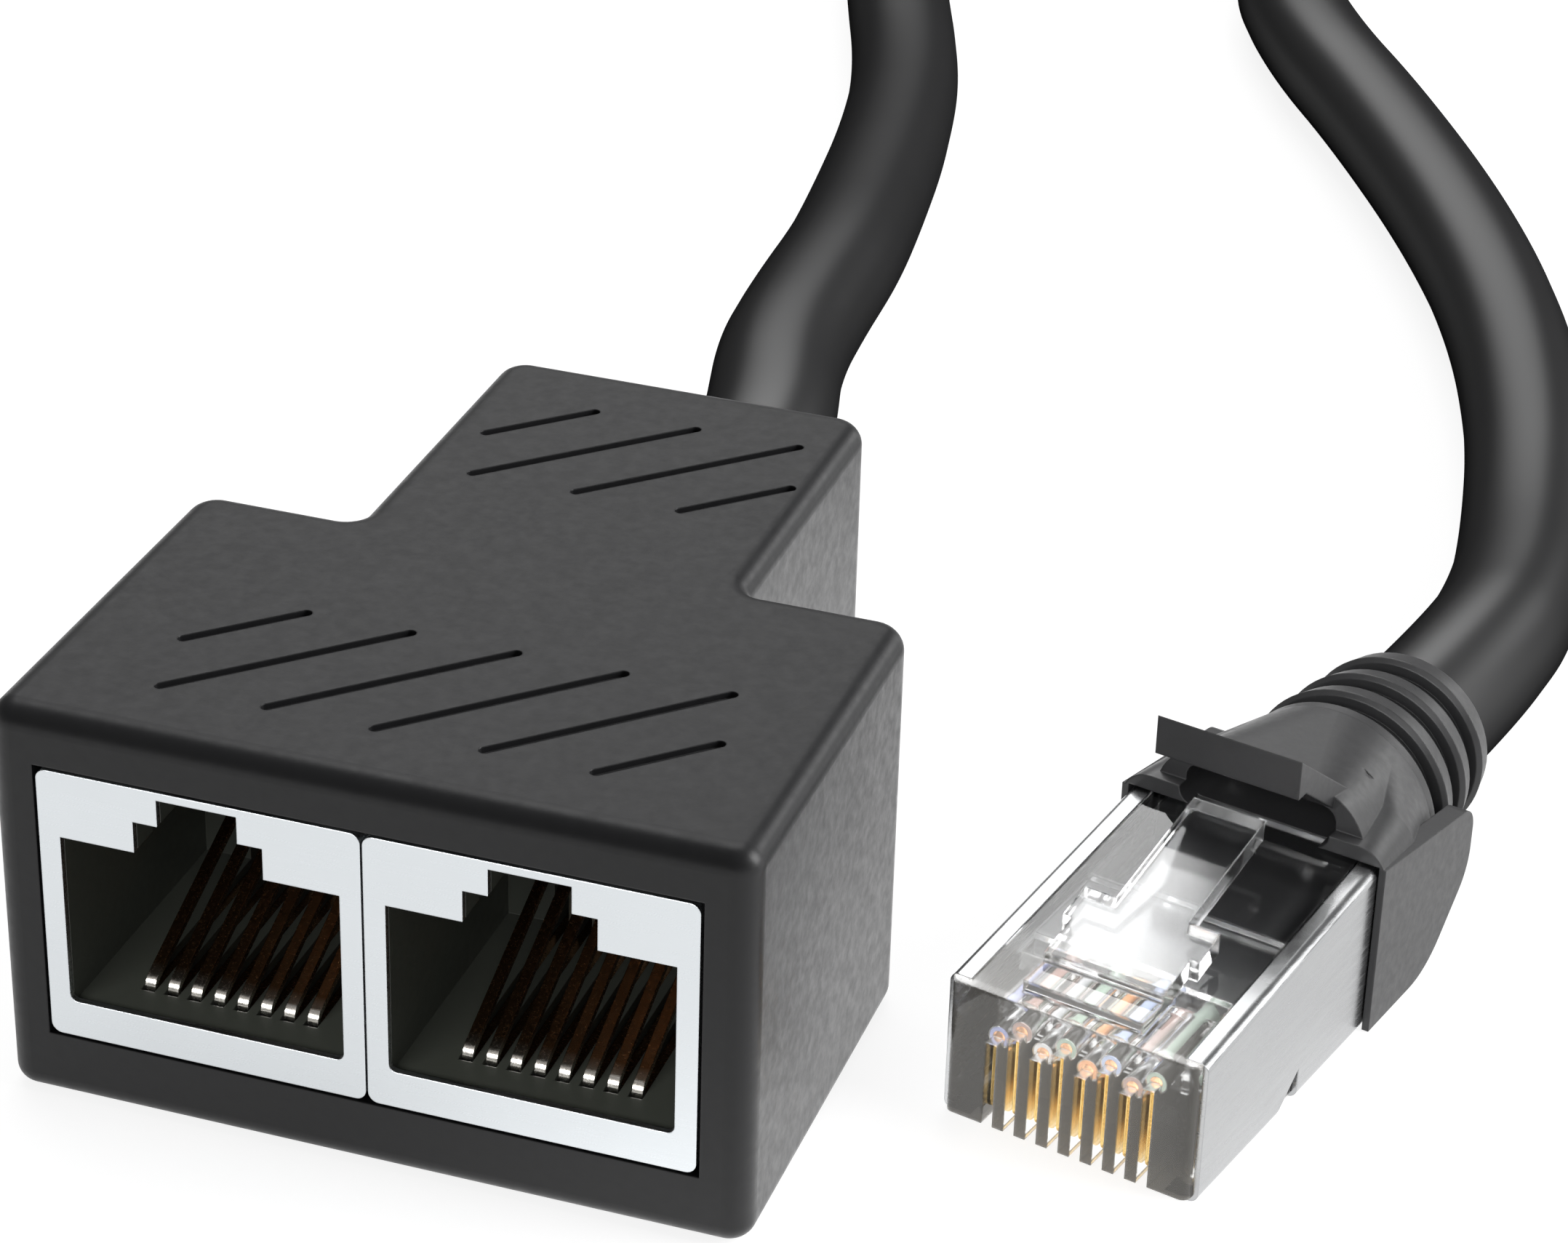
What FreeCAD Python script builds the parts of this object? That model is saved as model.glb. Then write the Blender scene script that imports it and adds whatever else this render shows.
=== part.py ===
import FreeCAD, Part
import math
import os
from FreeCAD import Vector

# RJ45 splitter adapter: a T-shaped moulded housing with two shielded jacks,
# a short cable and a shielded plug on the cable's far end. Millimetres.
# The origin is the middle of the housing's underside. The jacks face -Y,
# the cable leaves towards +Y, and Z is up.

# Housing, outside
housing_width = 31.8
housing_height = 18.0
neck_width = 17.3
neck_depth = 17.1
front_corner_radius = 1.1
back_corner_radius = 1.4
inner_corner_radius = 0.8
top_edge_radius = 1.0
bottom_edge_radius = 0.9

# Housing, inside
wall = 1.8
cover_thickness = 1.6
cover_ledge = 0.9
cover_gap = 0.06
hold_down_rib_width = 1.2
hold_down_rib_count = 4
rib_gap = 0.1

# Slanting grooves on the top face
groove_width = 0.5
groove_depth = 0.3
groove_angle = 45.0
wide_groove_length = 11.0
wide_groove_pitch = 4.55
wide_groove_count = 4
neck_groove_length = 11.1
neck_groove_pitch = 4.75
neck_groove_count = 2
short_groove_length = 5.7
wide_groove_setback = 7.4
neck_groove_setback = 28.8
groove_shift = 0.5

# Jacks
jack_count = 2
jack_depth = 16.5
jack_gap = 0.1
jack_side_gap = 0.35
jack_back_gap = 1.3
hold_down_rib_height = 0.6
window_gap = 0.14
sheet = 0.3
shield_corner_radius = 0.45
board_standoff = 0.1
opening_side_band = 0.9
opening_top_band = 0.35
opening_sill = 1.65
opening_corner = 0.35
key_width = 5.5
key_height = 1.4
latch_width = 3.4
latch_height = 1.2
insert_gap = 0.05
insert_back_wall = 3.9
face_depth = 1.7
latch_channel_width = 6.2
shield_tab_width = 1.6
shield_tab_setback = 8.5

# Contact wires of the jacks
contact_count = 8
contact_pitch = 1.02
contact_width = 0.46
contact_thickness = 0.3
contact_rise = 22.0
contact_bend = 0.4
contact_front = 2.3
contact_run_height = 0.6
contact_tip_reach = 0.7
pin_back = 2.1
pin_row_step = 1.1
pin_clearance = 0.12
comb_clearance = 0.08
ledge_drop = 0.25

# Circuit board
board_thickness = 1.2
board_seat = 0.3
board_edge_gap = 0.3
board_length = 28.5
seat_radius = 1.1
seat_front_gap = 2.4
seat_to_pins = 3
seat_side_gap = 2.2
neck_seat_side_gap = 2.0
neck_seat_back_gap = 2.4

# Cable and what holds it in the neck
cable_diameter = 6.6
relief_length = 4.0
relief_bore_radius = 4.15
relief_wall_radius = 4.9
relief_end_radius = 4.3
relief_flange_radius = 5.35
relief_flange = 1.2
relief_fit = 0.04
relief_groove_count = 2
relief_groove_width = 0.6
relief_groove_depth = 0.35
cable_tail = 8.0
clamp_length = 3.0
clamp_thickness = 0.45
clamp_rib_count = 3
conductor_diameter = 1.0
conductor_spacing = 1.3
conductor_row_gap = 1.6
pad_pitch = 2.8
pad_row_gap = 3.0
pad_setback = 5.0
conductor_bend = 1.0
conductor_stub = 0.9

# Route of the free cable between its straight ends: its middle line, lying on the
# surface that the adapter stands on
cable_start_run = 4.7
cable_end_run = 8.0
cable_route = [
    (-0.65, 32.2, 8.9),
    (-3.0, 40.8, 8.7),
    (-3.9, 48.5, 8.1),
    (-4.7, 56.5, 7.3),
    (-6.3, 66.0, 6.1),
    (-9.0, 80.5, 4.5),
    (-12.1, 93.2, 3.6),
    (-16.6, 105.6, 3.4),
    (-21.4, 119.7, 3.33),
    (-26.0, 134.5, 3.33),
    (-30.2, 149.7, 3.33),
    (-33.7, 164.8, 3.33),
    (-36.8, 180.3, 3.33),
    (-36.5, 196.2, 3.33),
    (-29.6, 210.5, 3.33),
    (-17.2, 220.4, 3.33),
    (-1.8, 224.2, 3.33),
    (13.8, 221.0, 3.33),
    (26.5, 211.4, 3.33),
    (33.9, 197.3, 3.33),
    (34.6, 181.4, 3.33),
    (28.4, 166.8, 3.33),
    (16.7, 156.1, 3.33),
    (8.1, 144.7, 3.33),
    (4.4, 131.5, 3.33),
    (5.8, 118.1, 3.33),
    (10.5, 107.7, 3.33),
    (16.4, 97.9, 3.33),
    (23.9, 83.6, 3.33),
    (29.5, 70.2, 3.33),
    (33.0, 57.2, 3.33),
    (34.8, 45.9, 3.5),
    (35.6, 37.6, 4.1),
]

# Plug: its own frame has the origin at the middle of the nose's lower edge
plug_side_gap = 9.9
plug_setback = 10.2
plug_turn = -14.0
plug_cable_height = 4.95
plug_width = 11.68
nose_height = 6.6
rear_height = 8.0
plug_sheet = 0.25
shell_start = 0.5
shell_end = 16.2
shell_flange = 0.95
shell_notch_start = 7.1
shell_notch_length = 2.1
shell_notch_height = 1.5
blade_count = 8
blade_pitch = 1.016
blade_thickness = 0.36
blade_slot = 0.5
blade_length = 3.6
blade_setback = 0.55
blade_lift = 0.55
wire_diameter = 0.9
wire_height = 4.2
wire_step = 0.62
wire_start = 1.1
wire_bore_length = 4.0
cavity_wall = 1.0
throat_start = 5.1
tail_width = 10.2
tail_bottom = 0.9
tail_top = 7.3
tail_end = 19.0
load_bar_length = 4.4
load_bar_margin = 0.75
lever_root = 2.4
lever_root_width = 5.4
lever_hinge_front = 0.8
lever_hinge_height = 0.6
lever_thickness = 0.95
lever_width = 6.2
lever_tail_width = 3.3
lever_shoulder = 4.6
lever_shoulder_end = 6.4
lever_end = 12.9
lever_rise = 12.8
boot_start = 15.3
boot_length = 15.7
boot_skin = 0.35
boot_top = 8.75
boot_square = 3.6
boot_shoulder = 4.2
boot_neck_radius = 4.9
boot_end_radius = 4.05
boot_ring_count = 3
boot_ring_width = 0.95
boot_ring_depth = 0.7
boot_ring_edge = 0.2
ear_length = 9.2
ear_tip_height = 6.6
ear_tip_radius = 1.3
ear_low_height = 3.4
ear_low_radius = 2.5
ear_rise = 5.6
ear_rise_radius = 4.0
ear_thickness = 0.9
hood_setback = 0.6
hood_width = 9.8
hood_top = 10.5
hood_bottom = 2.0
hood_radius = 2.6
hood_room_width = 7.0
hood_room_top = 9.7
hood_room_depth = 4.3
guard_width = 6.6
guard_lip = 1.8
guard_thickness = 1.3
guard_front = 12.3
guard_top = 13.7
guard_back = 17.3
plug_fit = 0.04

# Cable's end inside the plug, pressed flat by the plug's throat
jacket_start = 9.8
jacket_width = 8.9
jacket_height = 4.7
jacket_radius = 2.0
jacket_middle = 4.1
jacket_change = 1.4

# Places that follow from the sizes
wide_depth = jack_depth + jack_back_gap + wall
cavity_depth = jack_depth - insert_back_wall
contact_tip_setback = cavity_depth + contact_tip_reach
pin_setback = jack_depth - pin_back
total_depth = wide_depth + neck_depth
front = -total_depth / 2
rear = total_depth / 2
shoulder = front + wide_depth
board_bottom = cover_thickness + board_seat
board_top = board_bottom + board_thickness
ceiling = housing_height - wall
jack_bottom = board_top + board_standoff
jack_top = ceiling - hold_down_rib_height - rib_gap
jack_height = jack_top - jack_bottom
jack_pitch = (housing_width - 2 * wall - 2 * jack_side_gap + jack_gap) / jack_count
shield_width = jack_pitch - jack_gap
opening_width = shield_width - 2 * opening_side_band
sill = jack_bottom + opening_sill
latch_top = jack_top - opening_top_band
latch_bottom = latch_top - latch_height
key_bottom = latch_bottom - key_height
jack_centres = [(i - (jack_count - 1) / 2) * jack_pitch for i in range(jack_count)]
jacks_width = (jack_count - 1) * jack_pitch + shield_width
exit_height = (cover_thickness + ceiling) / 2
plug_place = Vector(housing_width / 2 + plug_side_gap, front + plug_setback, 0)
cable_radius = cable_diameter / 2
tail_start = rear - wall - cable_tail
slack = 1.0


def save(shape, name):
    """Check one node and write its STEP file."""
    if not shape.isValid():
        raise ValueError(name + " is not valid")
    shape.exportStep("parts/" + name + ".step")
    return shape


def box(x0, x1, y0, y1, z0, z1):
    return Part.makeBox(x1 - x0, y1 - y0, z1 - z0, Vector(x0, y0, z0))


def centred_box(x, width, y0, y1, z0, z1):
    return box(x - width / 2, x + width / 2, y0, y1, z0, z1)


def tangent_arcs(points, radii, closed):
    """Edges of straight runs joined by tangent arcs; a radius of 0 is a sharp corner."""
    count = len(points)
    edges = []
    starts, ends = [], []
    for i in range(count):
        here = points[i]
        if radii[i] <= 0 or (not closed and i in (0, count - 1)):
            starts.append(here)
            ends.append(here)
            edges.append(None)
            continue
        back = (points[i - 1] - here).normalize()
        ahead = (points[(i + 1) % count] - here).normalize()
        half = back.getAngle(ahead) / 2
        reach = radii[i] / math.tan(half)
        middle = here + (back + ahead).normalize() * (radii[i] / math.sin(half) - radii[i])
        first = here + back * reach
        last = here + ahead * reach
        starts.append(first)
        ends.append(last)
        edges.append(Part.Arc(first, middle, last).toShape())
    result = []
    for i in range(count if closed else count - 1):
        after = (i + 1) % count
        if edges[i] is not None:
            result.append(edges[i])
        if ends[i].distanceToPoint(starts[after]) > 1e-6:
            result.append(Part.LineSegment(ends[i], starts[after]).toShape())
    return result


def outline_face(points, radii):
    return Part.Face(Part.Wire(tangent_arcs(points, radii, True)))


def rounded_rectangle(width, height, radius, y, z_middle):
    """Wire of a rounded rectangle that stands in an XZ plane."""
    a, b = width / 2, height / 2
    corners = [(-a, -b), (a, -b), (a, b), (-a, b)]
    points = [Vector(x, y, z_middle + z) for x, z in corners]
    return Part.Wire(tangent_arcs(points, [radius] * 4, True))


def t_prism(inset, z0, z1):
    """Upright solid of the housing's T outline, moved inwards by the inset."""
    wide = housing_width / 2 - inset
    neck = neck_width / 2 - inset
    low, high, step = front + inset, rear - inset, shoulder - inset
    plan = [
        (-wide, low, front_corner_radius),
        (wide, low, front_corner_radius),
        (wide, step, back_corner_radius),
        (neck, step, -inner_corner_radius),
        (neck, high, back_corner_radius),
        (-neck, high, back_corner_radius),
        (-neck, step, -inner_corner_radius),
        (-wide, step, back_corner_radius),
    ]
    points = [Vector(x, y, z0) for x, y, radius in plan]
    radii = [-r + inset if r < 0 else max(r - inset, 0.2) for x, y, r in plan]
    return outline_face(points, radii).extrude(Vector(0, 0, z1 - z0))


def edges_at(shape, height):
    """Edges that lie wholly at one height."""
    return [
        edge
        for edge in shape.Edges
        if abs(edge.BoundBox.ZMin - height) < 1e-4 and abs(edge.BoundBox.ZMax - height) < 1e-4
    ]


def groove(x, y, length):
    """Round-ended slanting groove cutter in the top face."""
    half = (length - groove_width) / 2
    r = groove_width / 2
    bottom = housing_height - groove_depth
    bar = box(-half, half, -r, r, bottom, housing_height + slack)
    for end in (-half, half):
        bar = bar.fuse(Part.makeCylinder(r, groove_depth + slack, Vector(end, 0, bottom)))
    bar.rotate(Vector(0, 0, 0), Vector(0, 0, 1), groove_angle)
    bar.translate(Vector(x, y, 0))
    return bar


def groove_row(setback, count, pitch, length):
    """A row of long grooves with a short one at each end."""
    y = front + setback
    cutters = [
        groove((i - (count - 1) / 2) * pitch + groove_shift, y, length) for i in range(count)
    ]
    lean = (length - short_groove_length) / 2 * math.sin(math.radians(groove_angle))
    end = (count + 1) / 2 * pitch
    cutters.append(groove(-end + lean + groove_shift, y + lean, short_groove_length))
    cutters.append(groove(end - lean + groove_shift, y - lean, short_groove_length))
    return cutters


def make_housing():
    shell = t_prism(0, 0, housing_height)
    shell = shell.makeFillet(top_edge_radius, edges_at(shell, housing_height))
    shell = shell.makeFillet(bottom_edge_radius, edges_at(shell, 0))
    shell = shell.cut(t_prism(cover_ledge, -slack, cover_thickness))
    shell = shell.cut(t_prism(wall, 0, ceiling))
    window = centred_box(
        0, jacks_width + 2 * window_gap, front - slack, front + wall + slack,
        jack_bottom - window_gap, jack_top + window_gap,
    )
    shell = shell.cut(window)
    bore = Part.makeCylinder(
        relief_bore_radius, wall + 2 * slack,
        Vector(0, rear - wall - slack, exit_height), Vector(0, 1, 0),
    )
    shell = shell.cut(bore)
    ribs = []
    spread = jacks_width - 4 * hold_down_rib_width
    for i in range(hold_down_rib_count):
        x = (i / (hold_down_rib_count - 1) - 0.5) * spread
        ribs.append(centred_box(
            x, hold_down_rib_width, front + wall, front + jack_depth,
            jack_top + rib_gap, ceiling,
        ))
    shell = shell.fuse(ribs)
    cutters = groove_row(wide_groove_setback, wide_groove_count, wide_groove_pitch, wide_groove_length)
    cutters += groove_row(neck_groove_setback, neck_groove_count, neck_groove_pitch, neck_groove_length)
    return shell.cut(cutters).removeSplitter()


def board_outline_limits():
    wide = housing_width / 2 - wall - board_edge_gap
    neck = neck_width / 2 - wall - board_edge_gap
    return wide, neck


def make_base_cover():
    cover = t_prism(cover_ledge + cover_gap, 0, cover_thickness)
    wide, neck = board_outline_limits()
    rows = (front + wall + seat_front_gap, front + pin_setback - seat_to_pins)
    spots = [(side * (wide - seat_side_gap), y) for side in (-1, 1) for y in rows]
    y = front + board_length - neck_seat_back_gap
    spots += [(side * (neck - neck_seat_side_gap), y) for side in (-1, 1)]
    seats = [
        Part.makeCylinder(seat_radius, board_seat, Vector(x, y, cover_thickness))
        for x, y in spots
    ]
    return cover.fuse(seats)


def pin_y(i):
    """Contact pins stand in two staggered rows."""
    return front + pin_setback + (i % 2) * pin_row_step


def contact_x(centre, i):
    return centre + (i - (contact_count - 1) / 2) * contact_pitch


def make_board():
    wide, neck = board_outline_limits()
    low = front + wall + board_edge_gap
    step = shoulder - wall - board_edge_gap
    high = front + board_length
    plan = [
        (-wide, low), (wide, low), (wide, step), (neck, step),
        (neck, high), (-neck, high), (-neck, step), (-wide, step),
    ]
    points = [Vector(x, y, board_bottom) for x, y in plan]
    board = outline_face(points, [0.5] * len(points)).extrude(Vector(0, 0, board_thickness))
    cutters = []
    radius = max(contact_width, contact_thickness) / 2 + 2 * pin_clearance
    for centre in jack_centres:
        for i in range(contact_count):
            cutters.append(Part.makeCylinder(
                radius, board_thickness + 2 * slack,
                Vector(contact_x(centre, i), pin_y(i), board_bottom - slack),
            ))
        for side in (-1, 1):
            x = centre + side * (shield_width - sheet) / 2
            y = front + shield_tab_setback
            cutters.append(box(
                x - sheet / 2 - pin_clearance, x + sheet / 2 + pin_clearance,
                y - shield_tab_width / 2 - pin_clearance, y + shield_tab_width / 2 + pin_clearance,
                board_bottom - slack, board_top + slack,
            ))
    return board.cut(cutters)


def opening_profile(centre, y, depth):
    """Stepped jack opening as a solid that runs back from y."""
    a, b, c = opening_width / 2, key_width / 2, latch_width / 2
    r = opening_corner
    shape = [
        (-a, sill, r), (a, sill, r), (a, key_bottom, 0), (b, key_bottom, 0),
        (b, latch_bottom, 0), (c, latch_bottom, 0), (c, latch_top, 0), (-c, latch_top, 0),
        (-c, latch_bottom, 0), (-b, latch_bottom, 0), (-b, key_bottom, 0), (-a, key_bottom, 0),
    ]
    points = [Vector(centre + x, y, z) for x, z, radius in shape]
    radii = [radius for x, z, radius in shape]
    return outline_face(points, radii).extrude(Vector(0, depth, 0))


def rounded_tube(centre, width, height, radius, y0, y1, z_middle):
    wire = rounded_rectangle(width, height, radius, y0, z_middle)
    solid = Part.Face(wire).extrude(Vector(0, y1 - y0, 0))
    solid.translate(Vector(centre, 0, 0))
    return solid


def make_shield(centre):
    middle = (jack_bottom + jack_top) / 2
    can = rounded_tube(
        centre, shield_width, jack_height, shield_corner_radius,
        front, front + jack_depth, middle,
    )
    hollow = rounded_tube(
        centre, shield_width - 2 * sheet, jack_height - 2 * sheet,
        shield_corner_radius - sheet, front + sheet, front + jack_depth - sheet, middle,
    )
    can = can.cut(hollow)
    can = can.cut(opening_profile(centre, front - slack, 2 * slack))
    foot = centred_box(
        centre, shield_width - 2 * sheet - 0.6, front + cavity_depth + 0.6, front + jack_depth - sheet,
        jack_bottom - slack, jack_bottom + sheet + 0.2,
    )
    can = can.cut(foot)
    y = front + shield_tab_setback
    for side in (-1, 1):
        x = centre + side * (shield_width - sheet) / 2
        can = can.fuse(box(
            x - sheet / 2, x + sheet / 2, y - shield_tab_width / 2, y + shield_tab_width / 2,
            board_bottom - 0.1, jack_bottom + shield_corner_radius + 0.1,
        ))
    return can


def make_insert(centre):
    half = shield_width / 2 - sheet - insert_gap
    low = jack_bottom + sheet + insert_gap
    high = jack_top - sheet - insert_gap
    y0 = front + sheet + insert_gap
    y1 = front + jack_depth - sheet - insert_gap
    body = box(centre - half, centre + half, y0, y1, low, high)
    body = body.cut(opening_profile(centre, front, face_depth))
    cuts = [
        centred_box(centre, opening_width, front, front + cavity_depth, sill - ledge_drop, key_bottom),
        centred_box(
            centre, latch_channel_width, front + face_depth, front + cavity_depth - 1.5,
            key_bottom - slack, latch_top + slack,
        ),
        centred_box(centre, latch_width, front, front + face_depth, latch_bottom, latch_top + slack),
    ]
    slot = contact_width + 2 * comb_clearance
    run = jack_bottom + sheet + insert_gap + contact_run_height
    for i in range(contact_count):
        x = contact_x(centre, i)
        y_pin = pin_y(i)
        cuts.append(centred_box(
            x, slot, front + contact_front - 0.25, y_pin + contact_thickness,
            run - contact_thickness / 2 - comb_clearance, sill + slack,
        ))
        cuts.append(centred_box(
            x, slot, y_pin - contact_thickness, y_pin + contact_thickness,
            low - slack, run + slack,
        ))
        cuts.append(centred_box(
            x, slot, front + cavity_depth - slack, front + contact_tip_setback + 0.5,
            sill - slack, contact_height(contact_tip_setback) + 1.4,
        ))
    return body.cut(cuts)


def contact_vertex():
    """Where the two straight runs of a contact wire would meet, in front of its bend."""
    turn = math.radians(180 - contact_rise)
    bend_middle = contact_front + contact_bend + contact_thickness / 2
    return bend_middle - contact_bend * math.tan(turn / 2)


def contact_height(setback):
    """Height of a contact wire's sprung run at a distance from the front."""
    run = jack_bottom + sheet + insert_gap + contact_run_height
    return run + (setback - contact_vertex()) * math.tan(math.radians(contact_rise))


def strip(points, bend, thickness, x, width):
    """Bent flat wire: a path in a YZ plane given thickness, then width along X."""
    count = len(points)
    runs = []
    for i in range(count - 1):
        dy = points[i + 1][0] - points[i][0]
        dz = points[i + 1][1] - points[i][1]
        length = math.hypot(dy, dz)
        runs.append((dy / length, dz / length))
    sides = {1: [], -1: []}
    for i in range(count):
        d0 = runs[max(i - 1, 0)]
        d1 = runs[min(i, count - 2)]
        n0, n1 = (-d0[1], d0[0]), (-d1[1], d1[0])
        share = 1 + n0[0] * n1[0] + n0[1] * n1[1]
        turn = d0[0] * d1[1] - d0[1] * d1[0]
        for side in sides:
            shift = side * thickness / 2 / share
            y = points[i][0] + (n0[0] + n1[0]) * shift
            z = points[i][1] + (n0[1] + n1[1]) * shift
            inner = turn * side > 0
            radius = bend - thickness / 2 if inner else bend + thickness / 2
            sides[side].append((y, z, 0 if i in (0, count - 1) else radius))
    loop = sides[1] + sides[-1][::-1]
    face = outline_face(
        [Vector(x - width / 2, y, z) for y, z, r in loop], [r for y, z, r in loop]
    )
    return face.extrude(Vector(width, 0, 0))


def make_contact(centre, i):
    run = jack_bottom + sheet + insert_gap + contact_run_height
    path = [
        (pin_y(i), board_bottom - 0.15),
        (pin_y(i), run),
        (front + contact_vertex(), run),
        (front + contact_tip_setback, contact_height(contact_tip_setback)),
    ]
    return strip(path, contact_bend, contact_thickness, contact_x(centre, i), contact_width)


def revolve_about_cable(profile, z):
    """Turn a profile of (radius, y) points about a line along Y at a height."""
    points = [Vector(radius, y, z) for radius, y in profile]
    face = Part.Face(Part.makePolygon(points + points[:1]))
    return face.revolve(Vector(0, 0, z), Vector(0, 1, 0), 360)


def make_strain_relief():
    inside = rear - wall
    bore = cable_radius
    seat = relief_bore_radius - relief_fit
    end = rear + relief_length
    profile = [
        (bore, inside - relief_flange),
        (relief_flange_radius, inside - relief_flange),
        (relief_flange_radius, inside),
        (seat, inside),
        (seat, rear),
        (relief_wall_radius, rear),
    ]
    land = relief_length / (2 * relief_groove_count + 1)
    for k in range(relief_groove_count):
        y = rear + (2 * k + 1.5) * land
        share = (y - rear) / relief_length
        radius = relief_wall_radius + share * (relief_end_radius - relief_wall_radius)
        half = relief_groove_width / 2
        depth = radius - relief_groove_depth
        profile += [(radius, y - half), (depth, y - half), (depth, y + half), (radius, y + half)]
    profile += [(relief_end_radius, end), (bore, end)]
    return revolve_about_cable(profile, exit_height)


def make_cable_tail():
    return Part.makeCylinder(
        cable_radius, rear + relief_length - tail_start,
        Vector(0, tail_start, exit_height), Vector(0, 1, 0),
    )


def make_clamp():
    start = tail_start + 0.8
    outer = cable_radius + clamp_thickness
    profile = [(cable_radius, start), (outer, start)]
    pitch = clamp_length / (clamp_rib_count + 0.5)
    for k in range(clamp_rib_count):
        y = start + (k + 0.5) * pitch
        profile += [(outer, y), (outer - 0.18, y + 0.15), (outer - 0.18, y + 0.45), (outer, y + 0.6)]
    profile += [(outer, start + clamp_length), (cable_radius, start + clamp_length)]
    return revolve_about_cable(profile, exit_height)


def pipe(points, radii, diameter):
    """Round wire along straight runs and tangent arcs."""
    path = Part.Wire(tangent_arcs(points, radii, False))
    direction = points[1] - points[0]
    circle = Part.Wire([Part.makeCircle(diameter / 2, points[0], direction)])
    return path.makePipeShell([circle], True, False), path


def make_wire_pair(row, half):
    """Two conductors from the cable's end down to their pads on the board."""
    z = exit_height + (0.5 - row) * conductor_row_gap
    y_pad = tail_start - pad_setback - (1 - row) * pad_row_gap
    wires = []
    for k in (2 * half, 2 * half + 1):
        x_cable = (k - 1.5) * conductor_spacing
        x_pad = (k - 1.5) * pad_pitch
        points = [
            Vector(x_cable, tail_start, z),
            Vector(x_cable, tail_start - conductor_stub, z),
            Vector(x_pad, y_pad, z),
            Vector(x_pad, y_pad, board_top),
        ]
        radii = [0, conductor_bend, conductor_bend, 0]
        wires.append(pipe(points, radii, conductor_diameter)[0])
    return Part.makeCompound(wires)


def cable_points():
    """The whole route: straight out of the strain relief, and straight into the boot."""
    exit_end = rear + relief_length
    boot_end = boot_start + boot_length
    points = [Vector(0, exit_end, exit_height), Vector(0, exit_end + cable_start_run, exit_height)]
    points += [Vector(*p) for p in cable_route]
    for y in (boot_end + cable_end_run, boot_end):
        turn = math.radians(plug_turn)
        end = Vector(-y * math.sin(turn), y * math.cos(turn), plug_cable_height)
        points.append(plug_place + end)
    return points


def make_cable():
    """The free cable: arcs as large as their runs allow, radii printed."""
    points = cable_points()
    radii = [0]
    for i in range(1, len(points) - 1):
        back = points[i] - points[i - 1]
        ahead = points[i + 1] - points[i]
        turn = back.getAngle(ahead)
        radii.append(0.45 * min(back.Length, ahead.Length) / math.tan(turn / 2))
    radii.append(0)
    print("cable arc radii", [round(r, 1) for r in radii[1:-1]])
    solid, path = pipe(points, radii, cable_diameter)
    turns = [
        (points[i] - points[i - 1]).getAngle(points[i + 1] - points[i])
        for i in range(1, len(points) - 1)
    ]
    runs = [(points[i + 1] - points[i]).Length for i in range(len(points) - 1)]
    print("largest turn", round(math.degrees(max(turns)), 1), "runs", [round(r, 1) for r in runs])
    section = math.pi * cable_radius ** 2
    print("cable length", round(path.Length, 1), "volume over section times length",
          round(solid.Volume / (section * path.Length), 4))
    return solid


def blade_x(i):
    return (i - (blade_count - 1) / 2) * blade_pitch


def wire_z(i):
    """The plug's conductors lie in two staggered rows."""
    return wire_height + (i % 2) * wire_step


def yz_prism(width, profile, x=0.0):
    """Solid of a closed (y, z) profile, centred on x."""
    points = [Vector(x - width / 2, y, z) for y, z in profile]
    return Part.Face(Part.makePolygon(points + points[:1])).extrude(Vector(width, 0, 0))


def plug_top(y):
    """Height of the plug's top face, which rises from the nose to the boot."""
    return nose_height + (rear_height - nose_height) * (y - shell_start) / (shell_end - shell_start)


def lever_profile(y0, y1):
    slope = math.tan(math.radians(lever_rise))
    low = nose_height + 0.1
    z0 = low + (y0 - lever_root) * slope
    z1 = low + (y1 - lever_root) * slope
    return [(y0, z0), (y1, z1), (y1, z1 + lever_thickness), (y0, z0 + lever_thickness)]


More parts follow.
